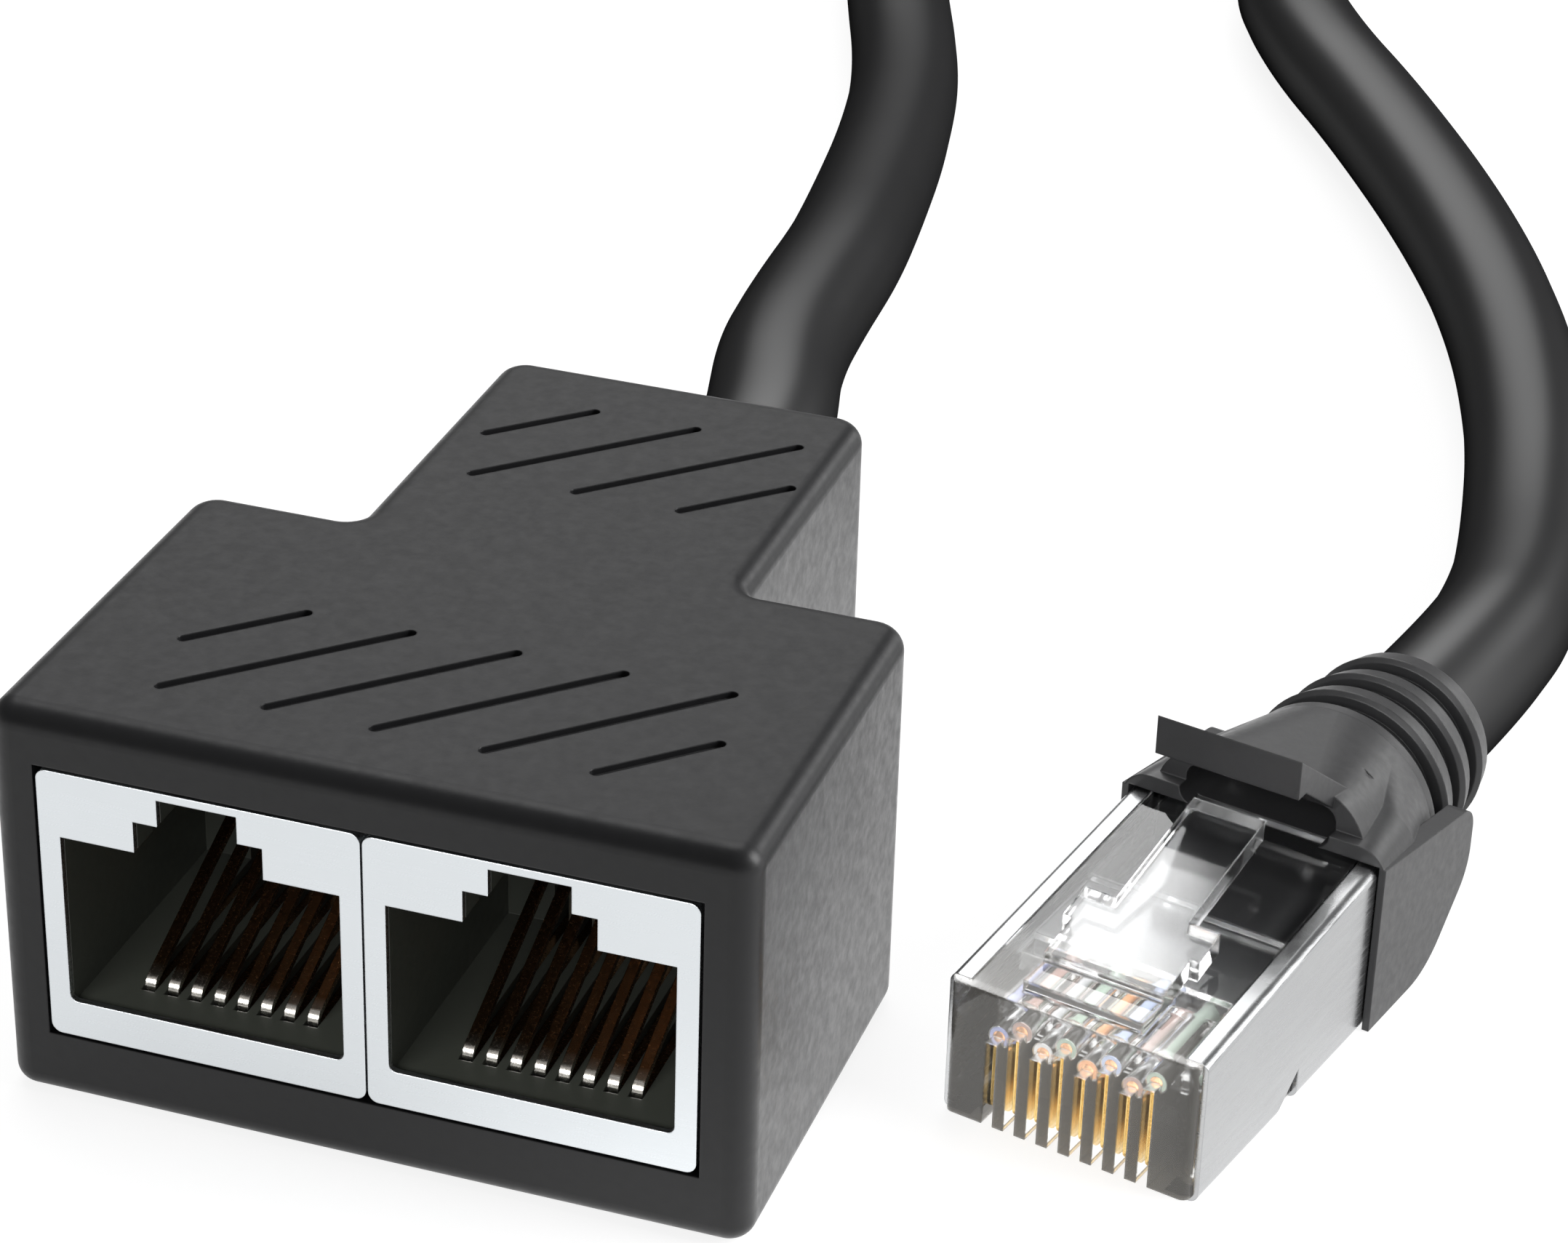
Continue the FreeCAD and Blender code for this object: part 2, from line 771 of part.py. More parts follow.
def make_plug_body():
    inside = plug_width - 2 * plug_sheet
    strip_width = plug_width - 2 * shell_flange - 2 * plug_fit
    low, skin = plug_sheet, plug_sheet
    under = yz_prism(inside, [
        (0, low), (0, nose_height - skin), (shell_start, nose_height - skin),
        (shell_end, rear_height - skin), (shell_end, low),
    ])
    strip_top = yz_prism(strip_width, [
        (0, low + 1), (0, nose_height), (shell_start, nose_height),
        (shell_end, rear_height), (shell_end, low + 1),
    ])
    nose = box(-inside / 2, inside / 2, 0, shell_start - plug_fit, low, nose_height)
    tail = centred_box(0, tail_width, shell_end - slack, tail_end, tail_bottom, tail_top)
    body = under.fuse([strip_top, nose, tail]).removeSplitter()
    upright = [
        e for e in body.Edges
        if e.BoundBox.YMax < 1e-4 and e.BoundBox.ZLength > nose_height / 2
    ]
    body = body.makeFillet(0.4, upright)
    inner = inside - 2 * cavity_wall
    load_bar_end = throat_start + load_bar_length
    cuts = [
        centred_box(0, inner, throat_start, load_bar_end + slack,
                    wire_height - load_bar_margin - wire_diameter / 2,
                    wire_height + wire_step + wire_diameter / 2 + load_bar_margin),
        centred_box(0, inner, load_bar_end, tail_end + slack, tail_bottom + 0.7, tail_top - 0.7),
        centred_box(0, inner, wire_start + 3.0, throat_start + slack,
                    wire_height - wire_diameter / 2 - 0.1,
                    wire_height + wire_step + wire_diameter / 2 + 0.1),
    ]
    for i in range(blade_count):
        cuts.append(centred_box(
            blade_x(i), blade_slot, -slack, blade_setback + blade_length + 0.1,
            -slack, wire_z(i),
        ))
        cuts.append(Part.makeCylinder(
            wire_diameter / 2 + plug_fit, wire_bore_length,
            Vector(blade_x(i), wire_start, wire_z(i)), Vector(0, 1, 0),
        ))
    body = body.cut(cuts)
    hinge = centred_box(0, lever_root_width, lever_hinge_front, lever_root + slack,
                        nose_height - lever_hinge_height, nose_height + lever_hinge_height)
    lever = yz_prism(lever_root_width, lever_profile(lever_root, lever_shoulder_end))
    shoulders = yz_prism(lever_width, lever_profile(lever_shoulder, lever_shoulder_end))
    tail = yz_prism(lever_tail_width, lever_profile(lever_shoulder, lever_end))
    return body.fuse([hinge, lever, shoulders, tail])


def make_plug_shield():
    """Folded shell round the plug's sides, its underside and the edges of its top."""
    profile = [
        (shell_start, 0), (shell_end, 0), (shell_end, rear_height), (shell_start, nose_height),
    ]
    inner = [
        (shell_start - slack, plug_sheet), (shell_end + slack, plug_sheet),
        (shell_end + slack, plug_top(shell_end + slack) - plug_sheet),
        (shell_start - slack, plug_top(shell_start - slack) - plug_sheet),
    ]
    shell = yz_prism(plug_width, profile)
    bends = [e for e in shell.Edges if e.BoundBox.YLength > shell_end - shell_start - 1e-4]
    shell = shell.makeFillet(0.4, bends).cut(yz_prism(plug_width - 2 * plug_sheet, inner))
    slot = centred_box(0, plug_width - 2 * shell_flange, shell_start - slack, shell_end + slack,
                       nose_height - 2 * plug_sheet, rear_height + slack)
    blades = centred_box(0, blade_count * blade_pitch + 0.8, shell_start - slack,
                         blade_setback + blade_length + 1.2, -slack, 2 * plug_sheet)
    end = shell_notch_start + shell_notch_length
    notches = [
        yz_prism(2 * slack, [
            (shell_notch_start, 0), (end, shell_notch_height), (end, -slack),
            (shell_notch_start, -slack),
        ], side * plug_width / 2)
        for side in (-1, 1)
    ]
    return shell.cut([slot, blades] + notches)


def make_blade(i):
    """Contact blade with a rounded nose corner and two piercing teeth."""
    y0, y1 = blade_setback, blade_setback + blade_length
    z0, z1 = blade_lift, wire_z(i) - wire_diameter / 2 - 0.01
    x = blade_x(i) - blade_thickness / 2
    tooth = 0.35
    valley = z1 - 0.5
    shape = [
        (y0, z0, 0.6), (y1, z0, 0.2), (y1, z1, 0), (y1 - tooth, z1, 0),
        (y1 - 1.5 * tooth, valley, 0), (y0 + 1.5 * tooth, valley, 0),
        (y0 + tooth, z1, 0), (y0, z1, 0),
    ]
    points = [Vector(x, y, z) for y, z, r in shape]
    face = outline_face(points, [r for y, z, r in shape])
    return face.extrude(Vector(blade_thickness, 0, 0))


def make_plug_wire(i):
    """Straight conductor from above its blade back to the cable's end."""
    return Part.makeCylinder(
        wire_diameter / 2, jacket_start - wire_start - 0.03,
        Vector(blade_x(i), wire_start + 0.03, wire_z(i)), Vector(0, 1, 0),
    )


def make_load_bar():
    width = plug_width - 2 * plug_sheet - 2 * cavity_wall - 2 * plug_fit
    bar = centred_box(
        0, width, throat_start + plug_fit, throat_start + load_bar_length,
        wire_height - load_bar_margin - wire_diameter / 2,
        wire_height + wire_step + wire_diameter / 2 + load_bar_margin - plug_fit,
    )
    holes = [
        Part.makeCylinder(wire_diameter / 2 + plug_fit, load_bar_length + 2 * slack,
                          Vector(blade_x(i), throat_start - slack, wire_z(i)), Vector(0, 1, 0))
        for i in range(blade_count)
    ]
    return bar.cut(holes)


def make_plug_cable_end():
    """Cable's end: round in the boot, flattened where the plug's throat holds it."""
    axis = plug_cable_height
    flat = rounded_tube(
        0, jacket_width, jacket_height, jacket_radius, jacket_start, tail_end, jacket_middle,
    )
    round_start = tail_end + jacket_change
    square = rounded_rectangle(jacket_width, jacket_height, jacket_radius, tail_end, jacket_middle)
    circle = rounded_rectangle(
        cable_diameter, cable_diameter, cable_radius - 0.01, round_start, axis
    )
    change = Part.makeLoft([square, circle], True, True)
    end = Part.makeCylinder(
        cable_radius, boot_start + boot_length - round_start,
        Vector(0, round_start, axis), Vector(0, 1, 0),
    )
    return flat.fuse([change, end])


def make_boot():
    """Moulded boot: square front, side ears, ringed round neck, hood and latch guard."""
    axis = plug_cable_height
    width = plug_width + 2 * boot_skin
    middle = boot_top / 2
    shoulder_start = boot_start + boot_square
    neck_start = shoulder_start + boot_shoulder
    end = boot_start + boot_length
    round_size = 2 * boot_neck_radius
    neck_section = (neck_start, round_size, round_size, boot_neck_radius - 0.01, axis)
    sections = [
        (boot_start, width, boot_top, 1.3, middle),
        (shoulder_start, width - 0.5, boot_top, 2.0, middle),
        neck_section,
    ]
    hood_start = boot_start + hood_setback
    hood_sections = [
        (hood_start, hood_width, hood_top - hood_bottom, hood_radius, (hood_top + hood_bottom) / 2),
        neck_section,
    ]
    body, hood = [
        Part.makeLoft([rounded_rectangle(w, h, r, y, z) for y, w, h, r, z in rows], True, True)
        for rows in (sections, hood_sections)
    ]
    profile = [(0, neck_start - 0.5), (boot_neck_radius, neck_start - 0.5)]
    pitch = (end - neck_start) / (boot_ring_count + 0.4)
    taper = (boot_end_radius - boot_neck_radius) / (end - neck_start)
    edge = boot_ring_edge
    for k in range(boot_ring_count):
        y = neck_start + (k + 0.35) * pitch
        radius = boot_neck_radius + taper * (y - neck_start)
        depth = radius - boot_ring_depth
        far = y + boot_ring_width
        profile += [
            (radius, y - edge), (radius - edge, y), (depth, y),
            (depth, far), (radius - edge, far), (radius, far + edge),
        ]
    profile += [(boot_end_radius, end - edge), (boot_end_radius - edge, end), (0, end)]
    points = [Vector(r, y, axis) for r, y in profile]
    neck = Part.Face(Part.makePolygon(points + points[:1])).revolve(
        Vector(0, 0, axis), Vector(0, 1, 0), 360
    )
    tip = boot_start + ear_length
    ear_outline = [
        (boot_start, 0, 0), (boot_start + ear_rise, 0, ear_rise_radius),
        (tip, ear_low_height, ear_low_radius),
        (tip, ear_tip_height, ear_tip_radius),
        (boot_start, rear_height, 0),
    ]
    ears = []
    for side in (-1, 1):
        x = side * (width - ear_thickness) / 2 - ear_thickness / 2
        points = [Vector(x, y, z) for y, z, r in ear_outline]
        face = outline_face(points, [r for y, z, r in ear_outline])
        ears.append(face.extrude(Vector(ear_thickness, 0, 0)))
    slope = (guard_top - hood_top + 0.5) / (guard_back - guard_front)
    guard_foot = guard_top - slope * (guard_back - guard_front)
    lip_depth = (guard_lip - guard_thickness) / slope
    guard = yz_prism(guard_width, [
        (guard_front, guard_top - guard_lip), (guard_front, guard_top),
        (guard_back, guard_foot), (guard_back, guard_foot - guard_thickness),
        (guard_front + lip_depth, guard_top - guard_lip),
    ])
    boot = body.fuse([hood, neck, guard] + ears)
    lever_room = rounded_tube(
        0, hood_room_width, hood_room_top - rear_height, 0.7, boot_start - slack,
        boot_start + hood_room_depth, (hood_room_top + rear_height) / 2,
    )
    room = [
        centred_box(0, plug_width + 2 * plug_fit, boot_start - slack, shell_end + plug_fit,
                    -slack, rear_height + plug_fit),
        centred_box(0, tail_width + 2 * plug_fit, boot_start, tail_end + plug_fit,
                    tail_bottom - plug_fit, tail_top + plug_fit),
        lever_room,
        make_plug_cable_end(),
    ]
    return boot.cut(room)


def place_plug(shape):
    shape = shape.copy()
    shape.rotate(Vector(0, 0, 0), Vector(0, 0, 1), plug_turn)
    shape.translate(plug_place)
    return shape


def main():
    os.makedirs("parts", exist_ok=True)
    save(make_housing(), "housing")
    save(make_base_cover(), "base_cover")
    save(make_board(), "circuit_board")
    for n, centre in enumerate(jack_centres, 1):
        save(make_shield(centre), f"port_{n}_shield")
        save(make_insert(centre), f"port_{n}_insert")
        for i in range(contact_count):
            save(make_contact(centre, i), f"port_{n}_contact_{i + 1}")
    save(make_strain_relief(), "strain_relief")
    save(make_cable_tail(), "cable_inner_end")
    save(make_clamp(), "cable_clamp")
    for n in range(4):
        save(make_wire_pair(n // 2, n % 2), f"wire_pair_{n + 1}")
    save(make_cable(), "cable")
    save(place_plug(make_plug_body()), "plug_body")
    save(place_plug(make_plug_shield()), "plug_shield")
    save(place_plug(make_load_bar()), "plug_load_bar")
    save(place_plug(make_plug_cable_end()), "plug_cable_end")
    for i in range(blade_count):
        save(place_plug(make_blade(i)), f"plug_contact_{i + 1}")
        save(place_plug(make_plug_wire(i)), f"plug_wire_{i + 1}")
    save(place_plug(make_boot()), "plug_boot")


main()
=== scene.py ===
import math

import bmesh
import bpy
from mathutils import Matrix, Vector


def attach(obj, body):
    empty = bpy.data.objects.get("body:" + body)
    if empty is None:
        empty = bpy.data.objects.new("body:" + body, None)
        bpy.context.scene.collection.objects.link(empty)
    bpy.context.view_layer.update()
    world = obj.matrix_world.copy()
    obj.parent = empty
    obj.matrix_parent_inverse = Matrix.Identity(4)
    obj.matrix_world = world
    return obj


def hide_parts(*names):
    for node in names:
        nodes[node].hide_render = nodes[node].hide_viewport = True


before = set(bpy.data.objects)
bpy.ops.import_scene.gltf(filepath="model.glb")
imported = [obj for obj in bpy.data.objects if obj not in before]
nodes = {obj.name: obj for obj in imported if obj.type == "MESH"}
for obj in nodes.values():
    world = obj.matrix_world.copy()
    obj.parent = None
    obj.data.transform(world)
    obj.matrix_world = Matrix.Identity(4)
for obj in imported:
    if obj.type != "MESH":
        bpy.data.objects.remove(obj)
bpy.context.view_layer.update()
MM = 0.001

# Route of the free cable in metres: the points of the part's source, with its straight ends
ROUTE = [
    (0.0, 0.02235, 0.0089), (0.0, 0.02705, 0.0089), (-0.00065, 0.0322, 0.0089),
    (-0.003, 0.0408, 0.0087), (-0.0039, 0.0485, 0.0081), (-0.0047, 0.0565, 0.0073),
    (-0.0063, 0.066, 0.0061), (-0.009, 0.0805, 0.0045), (-0.0121, 0.0932, 0.0036),
    (-0.0166, 0.1056, 0.0034), (-0.0214, 0.1197, 0.00333), (-0.026, 0.1345, 0.00333),
    (-0.0302, 0.1497, 0.00333), (-0.0337, 0.1648, 0.00333), (-0.0368, 0.1803, 0.00333),
    (-0.0365, 0.1962, 0.00333), (-0.0296, 0.2105, 0.00333), (-0.0172, 0.2204, 0.00333),
    (-0.0018, 0.2242, 0.00333), (0.0138, 0.221, 0.00333), (0.0265, 0.2114, 0.00333),
    (0.0339, 0.1973, 0.00333), (0.0346, 0.1814, 0.00333), (0.0284, 0.1668, 0.00333),
    (0.0167, 0.1561, 0.00333), (0.0081, 0.1447, 0.00333), (0.0044, 0.1315, 0.00333),
    (0.0058, 0.1181, 0.00333), (0.0105, 0.1077, 0.00333), (0.0164, 0.0979, 0.00333),
    (0.0239, 0.0836, 0.00333), (0.0295, 0.0702, 0.00333), (0.033, 0.0572, 0.00333),
    (0.0348, 0.0459, 0.0035), (0.0356, 0.0376, 0.0041), (0.035235, 0.029692, 0.00495),
    (0.0333, 0.021929, 0.00495),
]
CABLE_DIAMETER = 0.0066
CABLE_ORDER = 3
CABLE_STEPS = 12
CABLE_ROUNDNESS = 8

# Edges of the solids that turn by more than this many degrees stay sharp
SHARP_ANGLE = 28

# Contact wires of the jacks: where their front bend is, and how far behind it their painted
# highlight fades into painted shade
CONTACT_BEND_Y = -0.01605
CONTACT_HIGHLIGHT_FADE = 0.0009

# The plug's own frame: the middle of its nose's lower edge, its turn in degrees, and the
# direction from its nose to its boot
PLUG_NOSE = (0.0258, -0.00815, 0)
PLUG_TURN = -14
PLUG = Matrix.Translation(PLUG_NOSE) @ Matrix.Rotation(math.radians(PLUG_TURN), 4, "Z")
PLUG_BACK = PLUG.to_3x3() @ Vector((0, 1, 0))

# Conductors of the plug and their copper cores, in millimetres in the plug's frame
WIRE_COUNT = 8
WIRE_PITCH = 1.016
WIRE_HEIGHT = 4.2
WIRE_STEP = 0.62
WIRE_START = 1.13
CORE_RADIUS = 0.28
CORE_DEPTH = 0.02
CORE_SIDES = 20

# Materials: the values that noise covers, and how far it moves roughness and colour
NOISE_LOW = 0.3
NOISE_HIGH = 0.7
EVEN_GRAIN = (9000, 9000, 9000)
BEVEL_SAMPLES = 6
MOTTLE_SCALE = 90.0
MOULDED_SMOOTHER = 0.04
MOULDED_ROUGHER = 0.06
MOULDED_RELIEF = 0.35
TARNISH_SCALE = 160.0
TARNISH = 0.93
METAL_SMOOTHER = 0.07
METAL_ROUGHER = 0.09
METAL_RELIEF_DEPTH = 0.00001
CONTACT_ROUGHNESS = 0.22

# Sheen of the cable: its grain, and where it starts and ends to fade towards the outline
JACKET_GRAIN = 2600.0
JACKET_RELIEF_DEPTH = 0.000004
SHEEN_BLEND = 0.5
SHEEN_START = 0.2
SHEEN_END = 0.95

# Clear plug: its flow marks, and the haze of its nose with where that starts and ends to fade
CLEAR_COLOUR = (0.97, 0.98, 0.985, 1)
CLEAR_IOR = 1.45
CLEAR_SMOOTHEST = 0.03
CLEAR_ROUGHEST = 0.1
CLEAR_EDGE = 0.0002
FLOW_STRETCH = (1, 0.4, 1)
FLOW_SCALE = 500.0
FLOW_RELIEF = 0.08
FLOW_RELIEF_DEPTH = 0.00002
HAZE_COLOUR = (1.0, 0.95, 0.86, 1)
NOSE_HAZE = 0.07
NOSE_HAZE_START = 0.0005
NOSE_HAZE_END = 0.0050

# Camera, fitted to the photograph: its place, its directions, and its lens in millimetres
CAMERA_PLACE = (0.0569, -0.14415, 0.1014)
CAMERA_RIGHT = Vector((0.94749625, 0.31866271, 0.02655064))
CAMERA_UP = Vector((-0.17663426, 0.45236098, 0.87416811))
CAMERA_VIEW = Vector((-0.26655431, 0.83296075, -0.48489709))
CAMERA_LENS = 97.6
CAMERA_SENSOR = 36
CAMERA_NEAR = 0.01

# Floor, its glow, and the spot beside the housing's right side where reflections are brighter
FLOOR_REACH = 3.0
FLOOR_LEVEL = -0.00003
FLOOR_COLOUR = (0.3, 0.3, 0.3, 1)
FLOOR_ROUGHNESS = 0.9
FLOOR_SPECULAR = 0.1
FLOOR_GLOW = 0.86
POOL_GLOW = 0.7
POOL_MIDDLE = (0.015, 0.012, 0.0)
POOL_NARROWING = (2.0, 1.0, 1.0)
POOL_RADIUS = 0.05
POOL_FULL_SHARE = 0.4

# World and lamps: place, the point that they face, width and height in metres, and watts
WORLD_COLOUR = (1, 1, 1, 1)
WORLD_LIGHT = 0.24
LAMPS = {
    "top_lamp": ((-0.15, 0.30, 0.75), (0, 0, 0), (0.5, 0.5), 2.0),
    "right_lamp": ((0.65, 0.15, 0.35), (0, 0, 0.01), (0.4, 0.5), 6.0),
    "rim_lamp": ((0.37, 0.62, 0.20), (0, 0, 0.01), (0.22, 0.22), 0.55),
    "back_card": ((-0.20, 0.66, 0.42), (0, 0, 0.018), (0.5, 0.26), 0.5),
    "front_lamp": ((-0.04, -0.63, 0.37), (0.01, 0, 0.01), (0.7, 0.22), 5.0),
    "cable_card": ((-0.20, 0.66, 0.40), (0, 0.05, 0), (0.62, 0.30), 3.5),
}

# Card that the plug mirrors: points on its top face and its lever in the plug's frame, how
# many degrees these faces rise, and the card's distance, size and watts
PLUG_TOP = (0.0028, 0.0065, 0.0071)
TOP_RISE = 5.1
LEVER_TOP = (0.0008, 0.0090, 0.0096)
LEVER_RISE = 12.8
CARD_DISTANCE = 0.8
CARD_WIDTH = 0.2
CARD_LENGTH = 0.48
CARD_POWER = 1.8


# Building blocks of the materials
def new_material(name):
    """New material, with its node tree and its main shader."""
    material = bpy.data.materials.new(name)
    material.use_nodes = True
    tree = material.node_tree
    return material, tree, tree.nodes["Principled BSDF"]


def show(tree, surface):
    """Use a shader as the surface of the material."""
    tree.links.new(surface, tree.nodes["Material Output"].inputs["Surface"])


def texture_vector(tree, scale=(1, 1, 1)):
    """Coordinates of the model, scaled."""
    place = tree.nodes.new("ShaderNodeTexCoord")
    mapping = tree.nodes.new("ShaderNodeMapping")
    mapping.inputs["Scale"].default_value = scale
    tree.links.new(place.outputs["Object"], mapping.inputs["Vector"])
    return mapping.outputs["Vector"]


def noise(tree, vector, scale, detail, roughness):
    """Noise over the given coordinates."""
    node = tree.nodes.new("ShaderNodeTexNoise")
    node.inputs["Scale"].default_value = scale
    node.inputs["Detail"].default_value = detail
    node.inputs["Roughness"].default_value = roughness
    tree.links.new(vector, node.inputs["Vector"])
    return node.outputs["Fac"]


def remap(tree, value, start, end, low, high, interpolation="LINEAR"):
    """Low up to the start, high from the end on, and in between on the way."""
    node = tree.nodes.new("ShaderNodeMapRange")
    node.interpolation_type = interpolation
    node.inputs["From Min"].default_value = start
    node.inputs["From Max"].default_value = end
    node.inputs["To Min"].default_value = low
    node.inputs["To Max"].default_value = high
    tree.links.new(value, node.inputs["Value"])
    return node.outputs["Result"]


def spread(tree, value, low, high):
    """Noise, spread over a range."""
    return remap(tree, value, NOISE_LOW, NOISE_HIGH, low, high)


def tint(tree, value, dark, light):
    """Colour between dark and light."""
    node = tree.nodes.new("ShaderNodeMix")
    node.data_type = "RGBA"
    node.inputs["A"].default_value = (*dark, 1)
    node.inputs["B"].default_value = (*light, 1)
    tree.links.new(value, node.inputs["Factor"])
    return node.outputs["Result"]


def bump(tree, height, strength, distance, edge=0.0):
    """Relief from a height, on edges that are softened by the given radius."""
    node = tree.nodes.new("ShaderNodeBump")
    node.inputs["Strength"].default_value = strength
    node.inputs["Distance"].default_value = distance
    tree.links.new(height, node.inputs["Height"])
    if edge:
        bevel = tree.nodes.new("ShaderNodeBevel")
        bevel.samples = BEVEL_SAMPLES
        bevel.inputs["Radius"].default_value = edge
        tree.links.new(bevel.outputs["Normal"], node.inputs["Normal"])
    return node.outputs["Normal"]


def larger(tree, first, second):
    """The larger of two values."""
    node = tree.nodes.new("ShaderNodeMath")
    node.operation = "MAXIMUM"
    tree.links.new(first, node.inputs[0])
    tree.links.new(second, node.inputs[1])
    return node.outputs[0]


def blend(tree, share, first, second):
    """Two shaders, with the share of the second."""
    mix = tree.nodes.new("ShaderNodeMixShader")
    tree.links.new(share, mix.inputs["Fac"])
    tree.links.new(first, mix.inputs[1])
    tree.links.new(second, mix.inputs[2])
    return mix.outputs[0]


def along(tree, axis, start, end):
    """0 before the start and 1 past the end, measured along an axis of the model."""
    place = tree.nodes.new("ShaderNodeTexCoord")
    measure = tree.nodes.new("ShaderNodeVectorMath")
    measure.operation = "DOT_PRODUCT"
    measure.inputs[1].default_value = axis
    tree.links.new(place.outputs["Object"], measure.inputs[0])
    return remap(tree, measure.outputs["Value"], start, end, 0.0, 1.0)


# Kinds of material
def moulded(name, colour, roughness, grain=1800.0, relief=0.00002, shade=0.12, edge=0.0001,
            specular=0.5):
    """Moulded plastic or rubber: fine grain, faint mottling and softened edges."""
    material, tree, shader = new_material(name)
    vector = texture_vector(tree)
    fine = noise(tree, vector, grain, detail=3.0, roughness=0.6)
    broad = noise(tree, vector, MOTTLE_SCALE, detail=3.0, roughness=0.55)
    dark = [c * (1 - shade) for c in colour]
    light = [min(1.0, c * (1 + shade)) for c in colour]
    matt = spread(tree, fine, roughness - MOULDED_SMOOTHER, roughness + MOULDED_ROUGHER)
    tree.links.new(tint(tree, broad, dark, light), shader.inputs["Base Color"])
    tree.links.new(matt, shader.inputs["Roughness"])
    tree.links.new(bump(tree, fine, MOULDED_RELIEF, relief, edge), shader.inputs["Normal"])
    shader.inputs["Specular IOR Level"].default_value = specular
    return material


def metal(name, colour, roughness, stretch=(300, 9000, 9000), edge=0.00008, grain=0.12):
    """Plated or brushed metal: stretched fine lines and faint tarnish."""
    material, tree, shader = new_material(name)
    lines = noise(tree, texture_vector(tree, stretch), 1.0, detail=5.0, roughness=0.6)
    broad = noise(tree, texture_vector(tree), TARNISH_SCALE, detail=3.0, roughness=0.5)
    dark = [c * TARNISH for c in colour]
    matt = spread(tree, lines, roughness - METAL_SMOOTHER, roughness + METAL_ROUGHER)
    relief = bump(tree, lines, grain, METAL_RELIEF_DEPTH, edge)
    tree.links.new(tint(tree, broad, dark, colour), shader.inputs["Base Color"])
    tree.links.new(matt, shader.inputs["Roughness"])
    tree.links.new(relief, shader.inputs["Normal"])
    shader.inputs["Metallic"].default_value = 1.0
    return material


def contact_metal(name, painted_highlight, painted_shade):
    """Contact wire: a painted highlight at its front bend, fading into brown painted shade
    behind it.
    """
    material = metal(name, painted_shade, CONTACT_ROUGHNESS, EVEN_GRAIN, edge=0.00005)
    tree = material.node_tree
    # Painted highlight at the front bend, painted shade from there backwards
    painted_shade_share = along(tree, (0, 1, 0), CONTACT_BEND_Y, CONTACT_BEND_Y + CONTACT_HIGHLIGHT_FADE)
    shader = tree.nodes["Principled BSDF"]
    tree.links.new(tint(tree, painted_shade_share, painted_highlight, painted_shade), shader.inputs["Base Color"])
    return material


def rubber_jacket(name, colour, sheen, roughness):
    """Rubber jacket: near black, with a soft sheen that fades towards its outline."""
    material = moulded(
        name, colour, roughness, JACKET_GRAIN, JACKET_RELIEF_DEPTH, edge=0, specular=0.0
    )
    tree = material.node_tree
    gloss = tree.nodes.new("ShaderNodeBsdfAnisotropic")
    gloss.inputs["Roughness"].default_value = roughness
    facing = tree.nodes.new("ShaderNodeLayerWeight")
    facing.inputs["Blend"].default_value = SHEEN_BLEND
    share = remap(
        tree, facing.outputs["Facing"], SHEEN_START, SHEEN_END, sheen, 0.0, "SMOOTHSTEP"
    )
    show(tree, blend(tree, share, tree.nodes["Principled BSDF"].outputs[0], gloss.outputs[0]))
    return material


def clear(name):
    """Clear plastic with flow marks and a hazy nose, which shadow and diffuse rays pass."""
    material, tree, shader = new_material(name)
    flow = noise(tree, texture_vector(tree, FLOW_STRETCH), FLOW_SCALE, detail=2.0, roughness=0.5)
    matt = spread(tree, flow, CLEAR_SMOOTHEST, CLEAR_ROUGHEST)
    relief = bump(tree, flow, FLOW_RELIEF, FLOW_RELIEF_DEPTH, CLEAR_EDGE)
    tree.links.new(matt, shader.inputs["Roughness"])
    tree.links.new(relief, shader.inputs["Normal"])
    shader.inputs["Base Color"].default_value = CLEAR_COLOUR
    shader.inputs["Transmission Weight"].default_value = 1.0
    shader.inputs["IOR"].default_value = CLEAR_IOR
    haze = tree.nodes.new("ShaderNodeBsdfDiffuse")
    haze.inputs["Color"].default_value = HAZE_COLOUR
    nose = PLUG.translation.dot(PLUG_BACK)
    clearing = along(tree, PLUG_BACK, nose + NOSE_HAZE_START, nose + NOSE_HAZE_END)
    share = remap(tree, clearing, 0.0, 1.0, NOSE_HAZE, 0.0)
    hazy = blend(tree, share, shader.outputs[0], haze.outputs[0])
    path = tree.nodes.new("ShaderNodeLightPath")
    passes = larger(tree, path.outputs["Is Shadow Ray"], path.outputs["Is Diffuse Ray"])
    through = tree.nodes.new("ShaderNodeBsdfTransparent")
    show(tree, blend(tree, passes, hazy, through.outputs[0]))
    return material


# Materials of the pieces
HOUSING = moulded("housing_plastic", (0.013, 0.0131, 0.0142), 0.38, specular=0.36)
COVER = moulded("cover_plastic", (0.026, 0.026, 0.028), 0.48)
INSERT = moulded("insert_plastic", (0.050, 0.054, 0.045), 0.34, edge=0.00006)
CABLE = rubber_jacket("cable_jacket", (0.016, 0.016, 0.0165), 0.085, 0.38)
BOOT = moulded("boot_rubber", (0.024, 0.024, 0.025), 0.40, grain=2200.0)
BOARD = moulded("board_laminate", (0.015, 0.10, 0.045), 0.35)
BAR = moulded("load_bar_plastic", (0.014, 0.014, 0.015), 0.4)
NICKEL = metal("satin_nickel", (0.68, 0.71, 0.73), 0.30)
PLUG_NICKEL = metal("plug_nickel", (0.43, 0.435, 0.44), 0.24, (400, 400, 4000), grain=0.01)
GOLD = metal("gold_plate", (0.95, 0.68, 0.28), 0.2, EVEN_GRAIN)
# Contact wires: near-white painted highlight at the bend, brown painted shade behind it
WIRE_METAL = contact_metal("contact_wire", (0.98, 0.95, 0.88), (0.34, 0.19, 0.10))
COPPER = metal("copper_core", (0.92, 0.52, 0.28), 0.2, EVEN_GRAIN)
CLEAR = clear("clear_polycarbonate")
WIRE_COLOURS = {
    "blue": (0.34, 0.38, 0.66),
    "brown": (0.44, 0.30, 0.27),
    "white": (0.75, 0.76, 0.78),
    "green": (0.40, 0.50, 0.42),
    "orange": (0.90, 0.45, 0.22),
    "pale_blue": (0.50, 0.58, 0.80),
}
